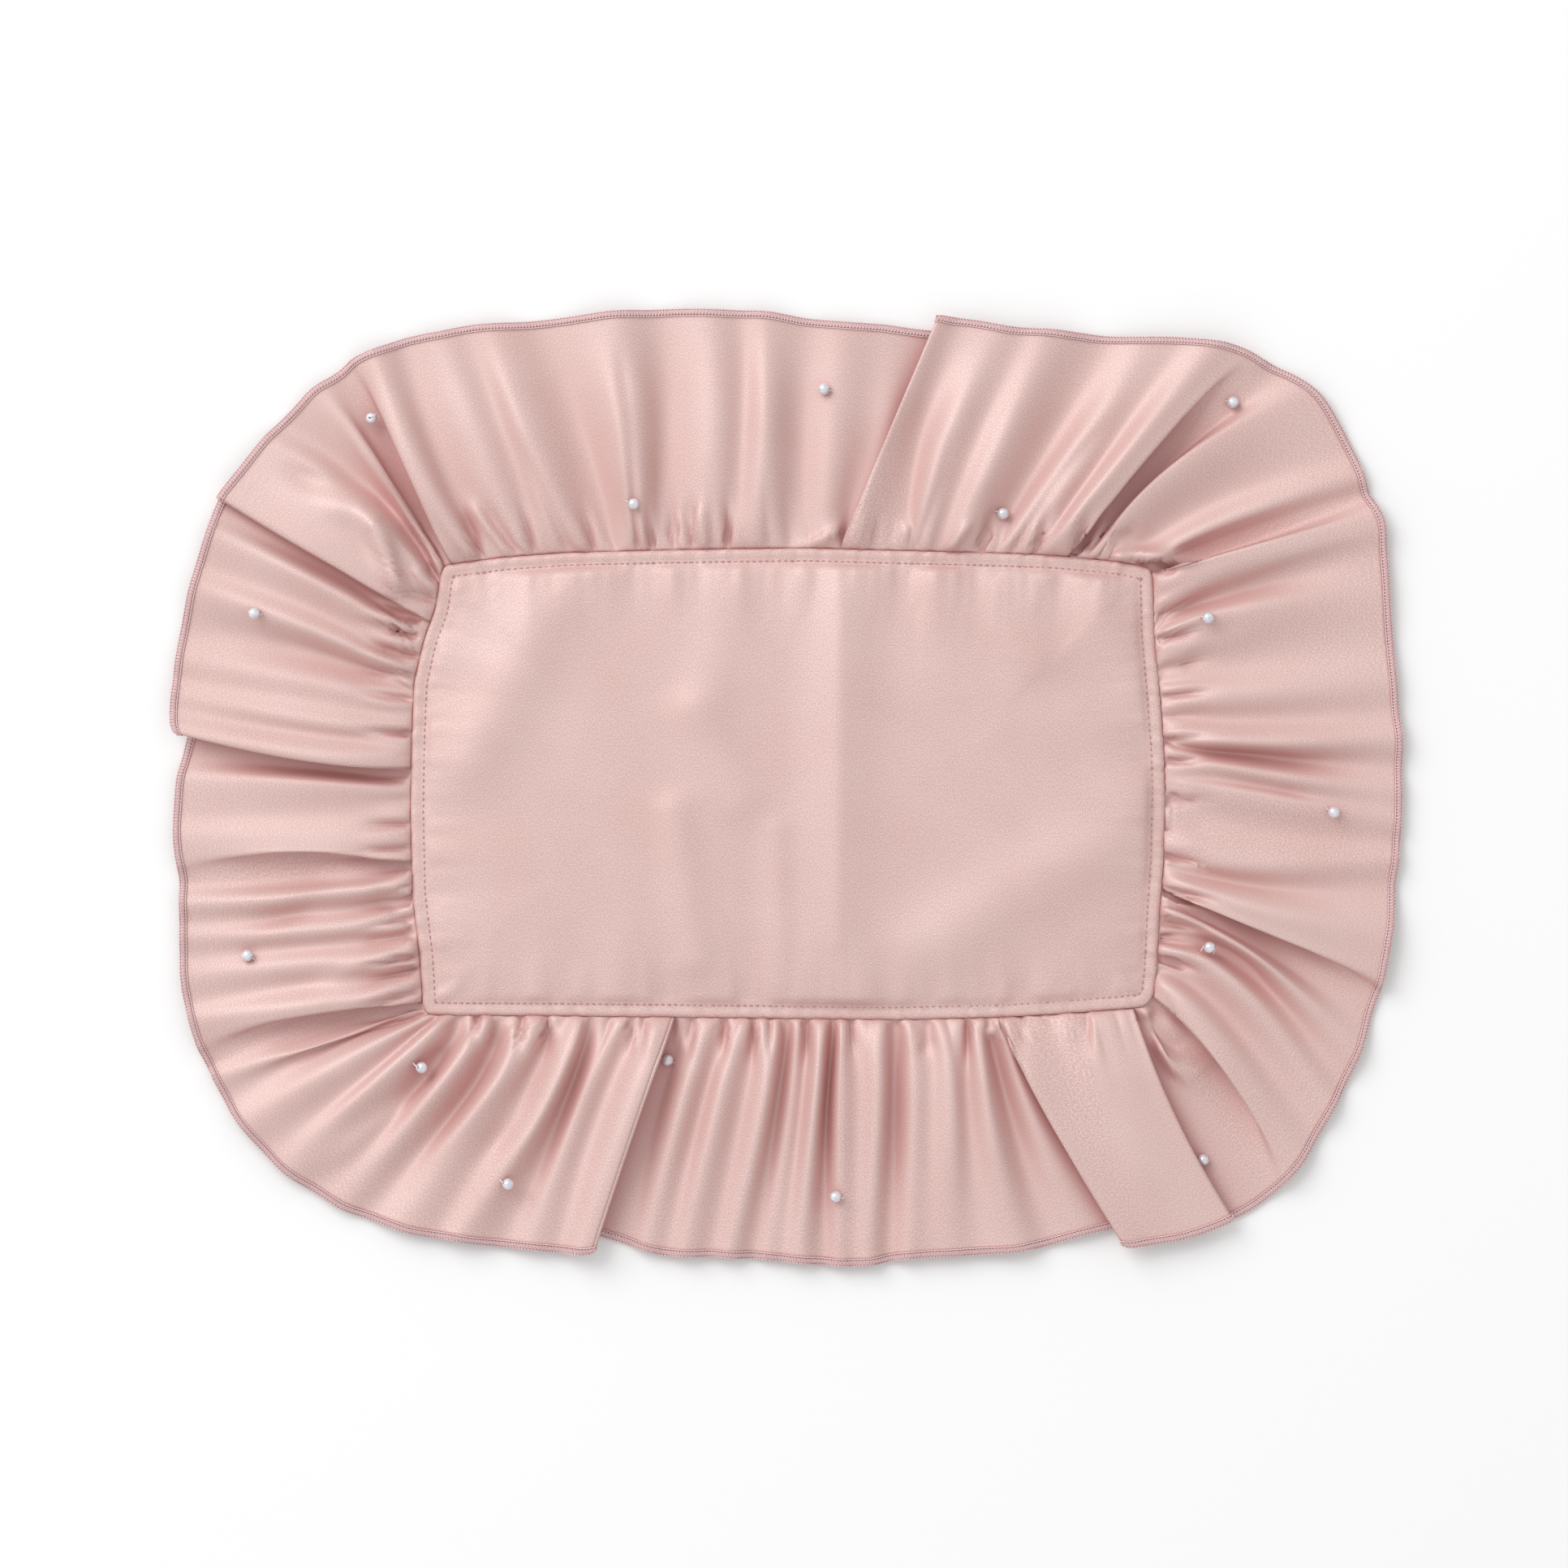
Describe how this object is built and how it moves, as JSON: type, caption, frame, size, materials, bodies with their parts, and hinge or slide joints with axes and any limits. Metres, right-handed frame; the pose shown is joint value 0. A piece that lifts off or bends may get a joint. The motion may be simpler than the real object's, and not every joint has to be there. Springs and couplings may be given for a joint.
{
  "type": "ring bearer pillow",
  "caption": "Thin quilt-flat satin ring bearer pillow: a bulging rectangular mat with a topstitched rim and a wide gathered ruffle, rolled hem and scattered pearl beads.",
  "frame": {"origin": "middle of the flat underside of the mat", "axes": "+X along the long side, +Y along the short side, +Z out of the front through the thickness"},
  "size_m": [0.4218, 0.3278, 0.0144],
  "materials": {
    "satin": "satin",
    "wadding": "matte",
    "sewing_thread": "satin",
    "overlock_thread": "satin",
    "pearl_bead": "gloss"
  },
  "bodies": {
    "root": {"front_panel": "satin", "back_panel": "satin", "wadding": "wadding", "ruffle_strip_left": "satin", "ruffle_strip_right": "satin", "gathering_thread": "sewing_thread", "assembly_seam_thread": "sewing_thread", "strip_join_thread": "sewing_thread", "topstitch_needle_thread": "sewing_thread", "topstitch_bobbin_thread": "sewing_thread", "hem_overlock_thread": "overlock_thread", "pearl_01": "pearl_bead", "pearl_02": "pearl_bead", "pearl_03": "pearl_bead", "pearl_04": "pearl_bead", "pearl_05": "pearl_bead", "pearl_06": "pearl_bead", "pearl_07": "pearl_bead", "pearl_08": "pearl_bead", "pearl_09": "pearl_bead", "pearl_10": "pearl_bead", "pearl_11": "pearl_bead", "pearl_12": "pearl_bead", "pearl_13": "pearl_bead", "pearl_14": "pearl_bead", "pearl_15": "pearl_bead", "pearl_thread_01": "sewing_thread", "pearl_thread_02": "sewing_thread", "pearl_thread_03": "sewing_thread", "pearl_thread_04": "sewing_thread", "pearl_thread_05": "sewing_thread", "pearl_thread_06": "sewing_thread", "pearl_thread_07": "sewing_thread", "pearl_thread_08": "sewing_thread", "pearl_thread_09": "sewing_thread", "pearl_thread_10": "sewing_thread", "pearl_thread_11": "sewing_thread", "pearl_thread_12": "sewing_thread", "pearl_thread_13": "sewing_thread", "pearl_thread_14": "sewing_thread", "pearl_thread_15": "sewing_thread"}
  },
  "joints": []
}
